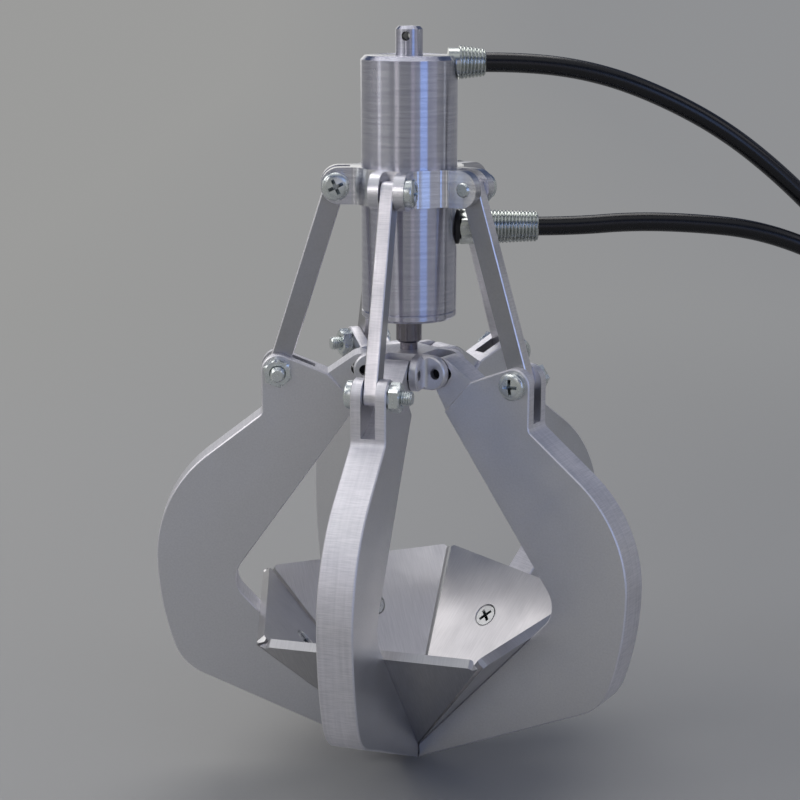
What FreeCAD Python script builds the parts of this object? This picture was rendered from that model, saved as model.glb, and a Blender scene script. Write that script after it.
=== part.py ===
# Five-tine hydraulic grapple, a scale model machined from aluminium, closed.
# Millimetres, +Z up, origin at the centre of the cross-hole in the hanger pin.
# Tine 1 points to -Y and the others follow every 72 degrees about Z.
# In each tine's own plane X is the distance from the axis, Y runs across the plate and Z is up.
import FreeCAD
import Part
import math
import os

V = FreeCAD.Vector

# Layout
TINES = 5
FIRST_AZIMUTH = -90.0
PITCH_ANGLE = 360.0 / TINES
HALF_SECTOR = PITCH_ANGLE / 2.0
AXLE_PLAY = 0.05
FLAT_PLAY = 0.1
SEAT_PLAY = 0.02

# Hanger pin and cylinder barrel
PIN_D = 5.6
PIN_TOP = 1.95
PIN_CHAMFER = 0.6
PIN_HOLE_D = 1.8
PIN_SPIGOT_D = 4.0
PIN_SPIGOT_LENGTH = 4.5
BARREL_TOP = -3.9
BARREL_D = 20.0
BARREL_LENGTH = 52.65
BARREL_CHAMFER = 0.8
SEAM_CHAMFER = 0.2
BORE_D = 16.0
HEAD_WALL = 6.0

# Gland that closes the barrel below
GLAND_FLANGE = 1.6
GLAND_CHAMFER = 0.5
GLAND_LENGTH = 13.0
O_RING_SECTION = 1.4
O_RING_SQUEEZE = 0.05
O_RING_HEIGHT = 6.0
ROD_SEAL_D = 8.6
ROD_SEAL_HEIGHT = 2.0
ROD_SEAL_DEPTH = 3.0

# Piston and rod
ROD_D = 5.5
ROD_SHOWN = 5.6
ROD_CHAMFER = 0.5
NECK_D = 3.7
NECK_LENGTH = 1.55
ROD_END_LENGTH = 5.6
PISTON_STEM_D = 4.0
PISTON_HEIGHT = 6.0
PISTON_PLAY = 0.15
PISTON_NUT_FLATS = 7.0
PISTON_NUT_HEIGHT = 3.0
PISTON_HEAD_GAP = 0.5
PISTON_SEAL_SECTION = 1.4
PISTON_SEAL_HEIGHT = 1.8
STROKE = 14.0

# Collar with five clevises round the barrel
COLLAR_WALL = 1.4
COLLAR_HEIGHT = 7.6
COLLAR_PIVOT_R = 15.36
COLLAR_PIVOT_Z = -30.2
COLLAR_EAR_REACH = 3.05
COLLAR_EAR_T = 2.2
COLLAR_SLOT_FLOOR = 12.3
COLLAR_ROOT_FILLET = 2.0

# Hub under the rod
HUB_PIVOT_R = 9.6
HUB_EAR_R = 3.6
HUB_EAR_REACH = 2.3
HUB_EAR_T = 1.7
HUB_SLOT_FLOOR = 5.3
HUB_EAR_CHAMFER = 0.3
HUB_ROOT_FILLET = 1.1
HUB_PIN_D = 2.2
HUB_PIN_RECESS = 1.2

# Links
LINK_W = 4.4
LINK_T = 2.8
LINK_CHAMFER = 0.2
SCREW_D = 3.0

# Tine plate: pivots
TINE_T = 7.4
OUTER_PIVOT_R = 27.9
OUTER_PIVOT_DROP = 0.3
CLEVIS_EAR_R = 3.5
CLEVIS_SLOT_DEPTH = 8.0
CLEVIS_CUTTER_R = 12.0
TONGUE_T = 5.8
TONGUE_EYE_R = 3.15
TONGUE_EYE_OUT = 0.6
TONGUE_SLOT_W = 2.8
TONGUE_SLOT_TRAVEL = 1.4
VALLEY_R = 17.3
VALLEY_DROP = 1.0
STEP_SLOPE = 49.0

# Tine plate: outline
SHOULDER_SLOPE = 36.9
SHOULDER_FILLET = 1.6
BULGE_R = 28.4
BULGE_REACH = 54.6
BULGE_DROP = 41.1
FLANK_R = 65.0
FLANK_ANGLE = 18.0
HEEL_R = 12.0
TIP_Z = -159.7
THROAT_R = 6.0
THROAT_REACH = 37.6
THROAT_SLOPE = 54.0
TINE_CHAMFER = 0.25
TIP_GAP = 0.3

# Leaf plates that close to a five-sided bowl
LEAF_T = 2.0
LEAF_SLOPE = 48.3
RIM_APOTHEM = 31.24
LEAF_TAPER = 0.6
LEAF_CORNER_CUT = 0.6
LEAF_SCREW_FROM_RIM = 12.8
LEAF_SCREW_HEAD_D = 5.5
LEAF_SCREW_HEAD_H = 1.65
LEAF_SCREW_LENGTH = 8.0
LEAF_HEAD_SINK = 0.05

# Pan head screws and nuts
HEAD_D = 5.8
HEAD_H = 2.0
HEAD_CROWN = 1.1
HEAD_CROWN_DROP = 0.3
HEAD_SHOULDER = 0.4
HEAD_RIM = 1.2
PIVOT_SCREW_LENGTH = 12.0
NUT_FLATS = 5.5
NUT_H = 2.4
SCREW_CHAMFER = 0.4
COLLAR_SCREW_PROUD = 0.35

# Hose fittings, both at the same azimuth
FITTING_AZIMUTH = 18.0
FITTING_BORE_D = 2.0
UPPER_FITTING_Z = -5.4
UPPER_SEAT_DEPTH = 2.0
UPPER_CHANNEL_DEPTH = 4.0
UPPER_NECK_D = 6.0
UPPER_THREAD_GAP = 0.2
UPPER_THREAD_LENGTH = 5.4
UPPER_THREAD_D = 7.0
UPPER_THREAD_END_D = 5.6
LOWER_FITTING_Z = -39.3
LOWER_SPOT_DEPTH = 0.6
LOWER_SPOT_D = 8.6
LOWER_SPIGOT_D = 5.0
LOWER_SPIGOT_DEPTH = 1.8
LOWER_WASHER_T = 1.5
LOWER_WASHER_D = 7.4
LOWER_HEX_FLATS = 6.4
LOWER_HEX_LENGTH = 4.1
LOWER_THREAD_LENGTH = 12.0
LOWER_THREAD_D = 7.2
LOWER_THREAD_END_D = 6.4

# Hoses and the fittings on their far ends
HOSE_D = 4.0
END_SLEEVE_D = 5.2
END_SLEEVE_LENGTH = 7.0
END_STUB_D = 3.0
END_STUB_LENGTH = 5.0
END_BORE_D = 1.6
# Each route is (out from the axis, sideways, height) in the fittings' plane.
UPPER_ROUTE = [
    (15.6, 0.0, -5.4),
    (25.5, 0.0, -5.4),
    (39.5, 0.2, -7.6),
    (52.5, 0.5, -12.3),
    (66.0, 1.2, -19.3),
    (78.5, 2.6, -28.6),
    (91.0, 4.2, -40.2),
    (99.4, 6.6, -53.8),
    (104.9, 9.0, -68.8),
    (108.1, 10.8, -84.6),
    (109.5, 11.9, -101.0),
    (110.0, 13.2, -117.2),
    (110.3, 15.4, -132.0),
    (111.8, 20.2, -144.2),
    (114.9, 28.2, -152.8),
    (119.3, 38.4, -157.5),
    (124.3, 47.6, -157.1),
]
LOWER_ROUTE = [
    (27.0, 0.0, -39.3),
    (35.0, 0.0, -39.3),
    (47.0, 0.0, -38.4),
    (60.0, -0.2, -38.8),
    (73.0, -0.8, -40.1),
    (86.0, -1.8, -44.4),
    (98.5, -1.6, -51.5),
    (109.5, -0.6, -62.5),
    (117.5, 1.2, -76.0),
    (122.2, 3.6, -91.0),
    (124.5, 6.3, -106.5),
    (125.5, 9.2, -121.5),
    (126.1, 12.7, -135.0),
    (127.6, 18.6, -146.5),
    (130.4, 27.2, -154.1),
    (134.6, 37.0, -157.5),
    (139.2, 45.6, -157.1),
]
ARC_SHARE = 0.45

# Sizes that follow from those above
SLOT_W = LINK_T + 2.0 * FLAT_PLAY
TINE_EAR_T = (TINE_T - SLOT_W) / 2.0
COLLAR_HALF_W = SLOT_W / 2.0 + COLLAR_EAR_T
HUB_SLOT_W = TONGUE_T + 4.0 * FLAT_PLAY
HUB_HALF_W = HUB_SLOT_W / 2.0 + HUB_EAR_T
EYE_HOLE_D = SCREW_D + 2.0 * AXLE_PLAY
BARREL_BOTTOM = BARREL_TOP - BARREL_LENGTH
GLAND_BOTTOM = BARREL_BOTTOM - GLAND_FLANGE
ROD_FOOT = GLAND_BOTTOM - ROD_SHOWN
HUB_TOP = ROD_FOOT - NECK_LENGTH
HUB_PIVOT_Z = HUB_TOP - HUB_EAR_R
OUTER_PIVOT_Z = HUB_PIVOT_Z - OUTER_PIVOT_DROP
BULGE_Z = HUB_PIVOT_Z - BULGE_DROP
BORE_TOP = BARREL_TOP - HEAD_WALL
PISTON_TOP = BORE_TOP - PISTON_HEAD_GAP - PISTON_NUT_HEIGHT
COLLAR_EAR_R = COLLAR_HEIGHT / 2.0
UPPER_SEAT_R = BARREL_D / 2.0 - UPPER_SEAT_DEPTH
UPPER_CHANNEL_R = BARREL_D / 2.0 - UPPER_CHANNEL_DEPTH
UPPER_THREAD_START = BARREL_D / 2.0 + UPPER_THREAD_GAP
LOWER_SPOT_R = BARREL_D / 2.0 - LOWER_SPOT_DEPTH
LOWER_SPIGOT_IN = BARREL_D / 2.0 - LOWER_SPIGOT_DEPTH


def polar(radius, degrees):
    a = math.radians(degrees)
    return V(radius * math.cos(a), 0.0, radius * math.sin(a))


def placed(shape, azimuth):
    """A copy of the shape turned about Z to the azimuth."""
    turned = shape.copy()
    turned.rotate(V(0, 0, 0), V(0, 0, 1), azimuth)
    return turned


def tine_azimuth(index):
    return FIRST_AZIMUTH + PITCH_ANGLE * index


def plate(edges, thickness):
    """A plate from edges in the XZ plane, half of it on each side of that plane."""
    face = Part.Face(Part.Wire(edges))
    face.translate(V(0, -thickness / 2.0, 0))
    return face.extrude(V(0, thickness, 0))


def line(a, b):
    return Part.LineSegment(a, b).toShape()


def arc(centre, radius, start, end):
    """An arc in the XZ plane between two angles in degrees, in the order given."""
    middle = centre + polar(radius, (start + end) / 2.0)
    return Part.Arc(centre + polar(radius, start), middle, centre + polar(radius, end)).toShape()


def rod_y(radius, low, high, x, z):
    """A cylinder along Y."""
    return Part.makeCylinder(radius, high - low, V(x, low, z), V(0, 1, 0))


def tangent_angle(point, centre, radius, side):
    """The angle on a circle at which a line from the point touches it, side +1 or -1."""
    away = point - centre
    return math.degrees(math.atan2(away.z, away.x) + side * math.acos(radius / away.Length))


def revolved(points, axis=V(0, 0, 1)):
    """A solid turned about Z from (radius, height) points, then laid along the axis."""
    corners = [V(r, 0, z) for r, z in points]
    solid = Part.Face(Part.makePolygon(corners + corners[:1])).revolve(V(0, 0, 0), V(0, 0, 1), 360)
    solid.Placement = FreeCAD.Placement(V(0, 0, 0), FreeCAD.Rotation(V(0, 0, 1), axis))
    return solid


def hexagon(flats, height, bottom):
    """A hexagonal prism along Z with a corner on X."""
    corner = flats / math.sqrt(3.0)
    points = [V(corner * math.cos(math.radians(60 * i)), corner * math.sin(math.radians(60 * i)), bottom)
              for i in range(6)]
    return Part.Face(Part.makePolygon(points + points[:1])).extrude(V(0, 0, height))


def rounded_hexagon(flats, height, bottom, hole):
    """A nut body along Z with its corners turned off at both ends and a plain hole."""
    corner = flats / math.sqrt(3.0)
    drop = (corner - flats / 2.0) * 0.6
    turned = revolved([(0, bottom), (flats / 2.0, bottom), (corner, bottom + drop),
                       (corner, bottom + height - drop), (flats / 2.0, bottom + height),
                       (0, bottom + height)])
    body = hexagon(flats, height, bottom).common(turned)
    return body.cut(Part.makeCylinder(hole / 2.0, height + 2.0, V(0, 0, bottom - 1.0)))


def hanger_pin():
    r = PIN_D / 2.0
    foot = BARREL_TOP - PIN_SPIGOT_LENGTH
    spigot = PIN_SPIGOT_D / 2.0
    pin = revolved([(0, foot), (spigot - 0.3, foot), (spigot, foot + 0.3), (spigot, BARREL_TOP),
                    (r, BARREL_TOP), (r, PIN_TOP - PIN_CHAMFER), (r - PIN_CHAMFER, PIN_TOP), (0, PIN_TOP)])
    return pin.cut(rod_y(PIN_HOLE_D / 2.0, -PIN_D, PIN_D, 0, 0))


def radial_hole(radius, start, length, z):
    """A cylinder along X that starts at a distance from the axis."""
    return Part.makeCylinder(radius, length, V(start, 0, z), V(1, 0, 0))


def barrel():
    r = BARREL_D / 2.0
    bore = BORE_D / 2.0
    tube = revolved([(0, BORE_TOP), (bore, BORE_TOP), (bore, BARREL_BOTTOM),
                     (r - SEAM_CHAMFER, BARREL_BOTTOM), (r, BARREL_BOTTOM + SEAM_CHAMFER),
                     (r, BARREL_TOP - BARREL_CHAMFER), (r - BARREL_CHAMFER, BARREL_TOP), (0, BARREL_TOP)])
    socket = PIN_SPIGOT_LENGTH + 0.3
    tube = tube.cut(Part.makeCylinder(PIN_SPIGOT_D / 2.0 + SEAT_PLAY, socket, V(0, 0, BARREL_TOP - socket)))
    port = FITTING_BORE_D / 2.0
    channel = Part.makeCylinder(port, UPPER_FITTING_Z - BORE_TOP + 1.0, V(UPPER_CHANNEL_R, 0, BORE_TOP - 1.0))
    ports = [radial_hole(UPPER_NECK_D / 2.0 + SEAT_PLAY, UPPER_SEAT_R, r, UPPER_FITTING_Z),
             radial_hole(port, UPPER_CHANNEL_R, r, UPPER_FITTING_Z),
             radial_hole(LOWER_SPOT_D / 2.0, LOWER_SPOT_R, r, LOWER_FITTING_Z),
             radial_hole(LOWER_SPIGOT_D / 2.0 + SEAT_PLAY, bore - 1.0, r, LOWER_FITTING_Z)]
    return tube.cut(placed(channel.fuse(ports), FITTING_AZIMUTH))


def gland():
    flange = BARREL_D / 2.0
    body = BORE_D / 2.0 - SEAT_PLAY
    rod = ROD_D / 2.0 + AXLE_PLAY
    top = BARREL_BOTTOM + GLAND_LENGTH
    ring_low = BARREL_BOTTOM + O_RING_HEIGHT
    ring_high = ring_low + O_RING_SECTION + SEAT_PLAY * 2.0
    ring_in = BORE_D / 2.0 - O_RING_SECTION
    seal_low = GLAND_BOTTOM + ROD_SEAL_DEPTH
    seal_high = seal_low + ROD_SEAL_HEIGHT + SEAT_PLAY * 2.0
    seal_r = ROD_SEAL_D / 2.0 + SEAT_PLAY
    return revolved([(rod, GLAND_BOTTOM), (flange - GLAND_CHAMFER, GLAND_BOTTOM),
                     (flange, GLAND_BOTTOM + GLAND_CHAMFER), (flange, BARREL_BOTTOM - SEAM_CHAMFER),
                     (flange - SEAM_CHAMFER, BARREL_BOTTOM), (body, BARREL_BOTTOM), (body, ring_low),
                     (ring_in, ring_low), (ring_in, ring_high), (body, ring_high), (body, top),
                     (rod, top), (rod, seal_high), (seal_r, seal_high), (seal_r, seal_low), (rod, seal_low)])


def gland_o_ring():
    """A ring with its section's corners cut off, near enough to round."""
    section = O_RING_SECTION / 2.0
    middle = BARREL_BOTTOM + O_RING_HEIGHT + section + SEAT_PLAY
    ring = BORE_D / 2.0 - section
    half = section - O_RING_SQUEEZE
    flat = half * math.tan(math.radians(22.5))
    return revolved([(ring - flat, middle - half), (ring + flat, middle - half), (ring + half, middle - flat),
                     (ring + half, middle + flat), (ring + flat, middle + half), (ring - flat, middle + half),
                     (ring - half, middle + flat), (ring - half, middle - flat)])


def rod_seal():
    low = GLAND_BOTTOM + ROD_SEAL_DEPTH + SEAT_PLAY
    inside = ROD_D / 2.0 + AXLE_PLAY
    ring = Part.makeCylinder(ROD_SEAL_D / 2.0, ROD_SEAL_HEIGHT, V(0, 0, low))
    return ring.cut(Part.makeCylinder(inside, ROD_SEAL_HEIGHT + 1.0, V(0, 0, low - 0.5)))


def piston():
    r = BORE_D / 2.0 - PISTON_PLAY
    stem = PISTON_STEM_D / 2.0 + SEAT_PLAY
    low = PISTON_TOP - PISTON_HEIGHT
    groove_low = low + (PISTON_HEIGHT - PISTON_SEAL_HEIGHT) / 2.0
    groove_high = groove_low + PISTON_SEAL_HEIGHT
    groove = BORE_D / 2.0 - PISTON_SEAL_SECTION
    return revolved([(stem, low), (r - 0.3, low), (r, low + 0.3), (r, groove_low), (groove, groove_low),
                     (groove, groove_high), (r, groove_high), (r, PISTON_TOP - 0.3),
                     (r - 0.3, PISTON_TOP), (stem, PISTON_TOP)])


def piston_seal():
    middle = PISTON_TOP - PISTON_HEIGHT / 2.0
    low = middle - PISTON_SEAL_HEIGHT / 2.0 + SEAT_PLAY
    height = PISTON_SEAL_HEIGHT - SEAT_PLAY * 2.0
    outside = BORE_D / 2.0 - AXLE_PLAY
    inside = BORE_D / 2.0 - PISTON_SEAL_SECTION + SEAT_PLAY
    return Part.makeCylinder(outside, height, V(0, 0, low)).cut(
        Part.makeCylinder(inside, height + 1.0, V(0, 0, low - 0.5)))


def piston_nut():
    return rounded_hexagon(PISTON_NUT_FLATS, PISTON_NUT_HEIGHT - SEAT_PLAY, PISTON_TOP + SEAT_PLAY,
                           PISTON_STEM_D + SEAT_PLAY * 2.0)


def rod():
    r = ROD_D / 2.0
    stem = PISTON_STEM_D / 2.0
    neck = NECK_D / 2.0
    shoulder = PISTON_TOP - PISTON_HEIGHT
    top = PISTON_TOP + PISTON_NUT_HEIGHT
    end = HUB_TOP - ROD_END_LENGTH
    return revolved([(0, end), (neck - 0.3, end), (neck, end + 0.3), (neck, ROD_FOOT),
                     (r - ROD_CHAMFER, ROD_FOOT), (r, ROD_FOOT + ROD_CHAMFER), (r, shoulder),
                     (stem, shoulder), (stem, top - 0.3), (stem - 0.3, top), (0, top)])


def ear_block(pivot_x, pivot_z, radius, back, thickness):
    """A block with one full round end, seen along Y."""
    top = V(pivot_x, 0, pivot_z + radius)
    bottom = V(pivot_x, 0, pivot_z - radius)
    edges = [line(V(back, 0, top.z), top), arc(V(pivot_x, 0, pivot_z), radius, 90, -90),
             line(bottom, V(back, 0, bottom.z)), line(V(back, 0, bottom.z), V(back, 0, top.z))]
    return plate(edges, thickness)


def upright_edges(shape, radius):
    """The edges along Z that lie at a distance from the axis."""
    found = []
    for edge in shape.Edges:
        low, high = edge.Vertexes[0].Point, edge.Vertexes[-1].Point
        level = math.hypot(low.x - high.x, low.y - high.y)
        if level < 0.001 < abs(low.z - high.z) and abs(math.hypot(low.x, low.y) - radius) < 0.01:
            found.append(edge)
    return found


def collar():
    bore = BARREL_D / 2.0 + SEAT_PLAY
    ring_r = BARREL_D / 2.0 + COLLAR_WALL
    low = COLLAR_PIVOT_Z - COLLAR_EAR_R
    round_x = COLLAR_PIVOT_R + COLLAR_EAR_REACH - COLLAR_EAR_R
    block = ear_block(round_x, COLLAR_PIVOT_Z, COLLAR_EAR_R, bore * 0.8, COLLAR_HALF_W * 2.0)
    slot_corner = V(COLLAR_SLOT_FLOOR, -SLOT_W / 2.0, low - 1.0)
    slot = Part.makeBox(COLLAR_PIVOT_R, SLOT_W, COLLAR_HEIGHT + 2.0, slot_corner)
    hole = rod_y(SCREW_D / 2.0 + SEAT_PLAY, -BARREL_D, BARREL_D, COLLAR_PIVOT_R, COLLAR_PIVOT_Z)
    ring = Part.makeCylinder(ring_r, COLLAR_HEIGHT, V(0, 0, low))
    body = ring.fuse([placed(block, tine_azimuth(i)) for i in range(TINES)])
    body = body.makeFillet(COLLAR_ROOT_FILLET, upright_edges(body, ring_r))
    body = body.cut(Part.makeCylinder(bore, COLLAR_HEIGHT + 2.0, V(0, 0, low - 1.0)))
    gaps = [placed(slot.fuse(hole), tine_azimuth(i)) for i in range(TINES)]
    return body.cut(gaps).removeSplitter()


def pan_head_screw(length):
    """A screw along Y: the head's underside at Y = 0 and the shank towards +Y."""
    shank = SCREW_D / 2.0
    head = HEAD_D / 2.0
    return revolved([(0, -HEAD_H), (head - HEAD_CROWN, -HEAD_H),
                     (head - HEAD_SHOULDER, HEAD_CROWN_DROP - HEAD_H), (head, -HEAD_RIM), (head, 0),
                     (shank, 0), (shank, length - SCREW_CHAMFER), (shank - SCREW_CHAMFER, length),
                     (0, length)], V(0, 1, 0))


def collar_screws():
    """Heads on the +Y side of each clevis, threaded into the ear on the other side."""
    screw = pan_head_screw(COLLAR_HALF_W * 2.0 + COLLAR_SCREW_PROUD)
    screw.rotate(V(0, 0, 0), V(0, 0, 1), 180)
    screw.translate(V(COLLAR_PIVOT_R, COLLAR_HALF_W, COLLAR_PIVOT_Z))
    return Part.makeCompound([placed(screw, tine_azimuth(i)) for i in range(TINES)])


def hub():
    low = HUB_PIVOT_Z - HUB_EAR_R
    height = HUB_EAR_R * 2.0
    round_x = HUB_PIVOT_R + HUB_EAR_REACH - HUB_EAR_R
    block = ear_block(round_x, HUB_PIVOT_Z, HUB_EAR_R, 0.0, HUB_HALF_W * 2.0)
    rim = [e for e in block.Edges if e.Curve.TypeId == "Part::GeomCircle"]
    block = block.makeChamfer(HUB_EAR_CHAMFER, rim)
    slot_corner = V(HUB_SLOT_FLOOR, -HUB_SLOT_W / 2.0, low - 1.0)
    slot = Part.makeBox(HUB_PIVOT_R * 2.0, HUB_SLOT_W, height + 2.0, slot_corner)
    hole = rod_y(HUB_PIN_D / 2.0 + SEAT_PLAY, -BARREL_D, BARREL_D, HUB_PIVOT_R, HUB_PIVOT_Z)
    arms = [placed(block, tine_azimuth(i)) for i in range(TINES)]
    gaps = [placed(slot.fuse(hole), tine_azimuth(i)) for i in range(TINES)]
    body = arms[0].fuse(arms[1:])
    corner_r = HUB_HALF_W / math.sin(math.radians(HALF_SECTOR))
    flat_side = round_x - corner_r * math.cos(math.radians(HALF_SECTOR))
    root_fillet = min(HUB_ROOT_FILLET, flat_side * math.tan(math.radians(HALF_SECTOR)) * 0.95)
    body = body.makeFillet(root_fillet, upright_edges(body, corner_r)).cut(gaps)
    body = body.cut(Part.makeCylinder(NECK_D / 2.0 + SEAT_PLAY, height + 2.0, V(0, 0, low - 1.0)))
    return body.removeSplitter()


def hub_pins():
    reach = HUB_HALF_W - HUB_PIN_RECESS
    pin = rod_y(HUB_PIN_D / 2.0, -reach, reach, HUB_PIVOT_R, HUB_PIVOT_Z)
    return Part.makeCompound([placed(pin, tine_azimuth(i)) for i in range(TINES)])


def link():
    """A flat bar with full round ends, from the collar's clevis to the tine's clevis."""
    top = V(COLLAR_PIVOT_R, 0, COLLAR_PIVOT_Z)
    foot = V(OUTER_PIVOT_R, 0, OUTER_PIVOT_Z)
    along = math.degrees(math.atan2(top.z - foot.z, top.x - foot.x))
    r = LINK_W / 2.0
    edges = [arc(top, r, along + 90, along - 90),
             line(top + polar(r, along - 90), foot + polar(r, along - 90)),
             arc(foot, r, along - 90, along - 270),
             line(foot + polar(r, along + 90), top + polar(r, along + 90))]
    bar = plate(edges, LINK_T)
    rim = [e for e in bar.Edges if e.Vertexes[0].Point.y * e.Vertexes[-1].Point.y > 0]
    bar = bar.makeChamfer(LINK_CHAMFER, rim)
    for eye in (top, foot):
        bar = bar.cut(rod_y(EYE_HOLE_D / 2.0, -LINK_T, LINK_T, eye.x, eye.z))
    return bar


def sector(half_angle, gap, reach, low, high):
    """A wedge about the X axis with half a gap taken off each side."""
    a = math.radians(half_angle)
    apex = gap / 2.0 / math.sin(a)
    side = (reach - apex) * math.tan(a)
    points = [V(apex, 0, low), V(reach, side, low), V(reach, -side, low)]
    return Part.Face(Part.makePolygon(points + points[:1])).extrude(V(0, 0, high - low))


def leaf_point(out, up):
    """A place on the leaf: distance up its slope from the tip, and off its lower face."""
    return V(0, 0, TIP_Z) + polar(out, LEAF_SLOPE) + polar(up, LEAF_SLOPE + 90)


def leaf_rim_length():
    """How far up the slope the rim is, so that its inner edge lies at the rim's apothem."""
    a = math.radians(LEAF_SLOPE)
    return (RIM_APOTHEM + LEAF_T * math.sin(a)) / math.cos(a)


def crossing(p, p_angle, q, q_angle):
    """Where two lines in the XZ plane, each a point and an angle, cross."""
    a = polar(1.0, p_angle)
    b = polar(1.0, q_angle)
    t = ((q.x - p.x) * b.z - (q.z - p.z) * b.x) / (a.x * b.z - a.z * b.x)
    return p + a * t


def throat_centre():
    """The round that joins the inner edge to the leaf's seat."""
    x = THROAT_REACH - THROAT_R
    on_leaf = TIP_Z + x * math.tan(math.radians(LEAF_SLOPE))
    return V(x, 0, on_leaf + THROAT_R / math.cos(math.radians(LEAF_SLOPE)))


def step_ends():
    """The two ends of the milled step between the tongue and the full plate."""
    valley = V(VALLEY_R, 0, HUB_PIVOT_Z - VALLEY_DROP)
    touch = throat_centre() + polar(THROAT_R, 90 - THROAT_SLOPE)
    notch = crossing(valley, STEP_SLOPE, touch, -THROAT_SLOPE)
    return valley, notch


def tine_body():
    ear = V(OUTER_PIVOT_R, 0, OUTER_PIVOT_Z)
    valley, notch = step_ends()
    edge_x = OUTER_PIVOT_R + CLEVIS_EAR_R
    bulge = V(BULGE_REACH - BULGE_R, 0, BULGE_Z)
    bulge_start = 90.0 - SHOULDER_SLOPE
    shoulder = crossing(V(edge_x, 0, 0), 90, bulge + polar(BULGE_R, bulge_start), -SHOULDER_SLOPE)
    rise = SHOULDER_FILLET * math.tan(math.radians(bulge_start / 2.0))
    hollow = V(edge_x + SHOULDER_FILLET, 0, shoulder.z + rise)
    flank = V(BULGE_REACH - FLANK_R, 0, BULGE_Z)
    heel = flank + polar(FLANK_R - HEEL_R, -FLANK_ANGLE)
    tip = V(0, 0, TIP_Z)
    heel_end = tangent_angle(tip, heel, HEEL_R, 1)
    throat = throat_centre()
    leaf_touch = LEAF_SLOPE - 90.0
    inner_touch = 90.0 - THROAT_SLOPE
    ear_start = tangent_angle(valley, ear, CLEVIS_EAR_R, -1) % 360.0
    edges = [line(valley, ear + polar(CLEVIS_EAR_R, ear_start)),
             arc(ear, CLEVIS_EAR_R, ear_start, 0),
             line(V(edge_x, 0, ear.z), V(edge_x, 0, hollow.z)),
             arc(hollow, SHOULDER_FILLET, 180, 180 + bulge_start),
             line(hollow + polar(SHOULDER_FILLET, 180 + bulge_start), bulge + polar(BULGE_R, bulge_start)),
             arc(bulge, BULGE_R, bulge_start, 0),
             arc(flank, FLANK_R, 0, -FLANK_ANGLE),
             arc(heel, HEEL_R, -FLANK_ANGLE, heel_end),
             line(heel + polar(HEEL_R, heel_end), tip),
             line(tip, throat + polar(THROAT_R, leaf_touch)),
             arc(throat, THROAT_R, leaf_touch, inner_touch),
             line(throat + polar(THROAT_R, inner_touch), notch),
             line(notch, valley)]
    body = plate(edges, TINE_T)
    half = TINE_T / 2.0
    outer = [e for e in body.Edges
             if abs(abs(e.CenterOfMass.y) - half) < 0.01 and not on_tip(e)]
    return body.makeChamfer(TINE_CHAMFER, outer)


def on_tip(edge):
    """Whether an edge runs to the tip, which is ground later."""
    return min(v.Point.z for v in edge.Vertexes) < TIP_Z + 0.01


def tongue():
    eye = V(HUB_PIVOT_R + TONGUE_EYE_OUT, 0, HUB_PIVOT_Z)
    valley, notch = step_ends()
    inside = (valley + notch) * 0.5 + polar(TONGUE_EYE_R, STEP_SLOPE - 90)
    upper = tangent_angle(valley, eye, TONGUE_EYE_R, 1)
    lower = tangent_angle(notch, eye, TONGUE_EYE_R, -1)
    lower_end = lower + 360.0 if lower < upper else lower
    edges = [line(valley, eye + polar(TONGUE_EYE_R, upper)),
             arc(eye, TONGUE_EYE_R, upper, lower_end),
             line(eye + polar(TONGUE_EYE_R, lower_end), notch),
             line(notch, inside),
             line(inside, valley)]
    return plate(edges, TONGUE_T)


def clevis_slot():
    """The cut of a disc cutter that comes in from above the plate's outer face."""
    edge_x = OUTER_PIVOT_R + CLEVIS_EAR_R
    height = OUTER_PIVOT_Z - CLEVIS_SLOT_DEPTH + CLEVIS_CUTTER_R
    return rod_y(CLEVIS_CUTTER_R, -SLOT_W / 2.0, SLOT_W / 2.0, edge_x, height)


def pin_slot():
    """The eye's hole, lengthened away from the axis, since this pivot is left open."""
    r = TONGUE_SLOT_W / 2.0
    start = rod_y(r, -TINE_T, TINE_T, HUB_PIVOT_R, HUB_PIVOT_Z)
    end = rod_y(r, -TINE_T, TINE_T, HUB_PIVOT_R + TONGUE_SLOT_TRAVEL, HUB_PIVOT_Z)
    box = Part.makeBox(TONGUE_SLOT_TRAVEL, TINE_T * 2.0, r * 2.0, V(HUB_PIVOT_R, -TINE_T, HUB_PIVOT_Z - r))
    return box.fuse([start, end])


def leaf_screw_axis():
    """The centre of the leaf screw's head on the leaf's upper face, and its direction."""
    top = leaf_point(leaf_rim_length() - LEAF_SCREW_FROM_RIM, LEAF_T)
    return top, polar(1.0, LEAF_SLOPE - 90.0)


def tine():
    top, inward = leaf_screw_axis()
    tapped = Part.makeCylinder(SCREW_D / 2.0 + SEAT_PLAY, LEAF_SCREW_LENGTH + 1.5, top, inward)
    pivot = rod_y(SCREW_D / 2.0 + SEAT_PLAY, -TINE_T, TINE_T, OUTER_PIVOT_R, OUTER_PIVOT_Z)
    body = tine_body().fuse(tongue()).removeSplitter()
    body = body.cut([clevis_slot(), pivot, pin_slot(), tapped])
    wedge = sector(HALF_SECTOR, TIP_GAP, BULGE_REACH * 1.5, TIP_Z - 1.0, 0.0)
    return body.common(wedge)


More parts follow.
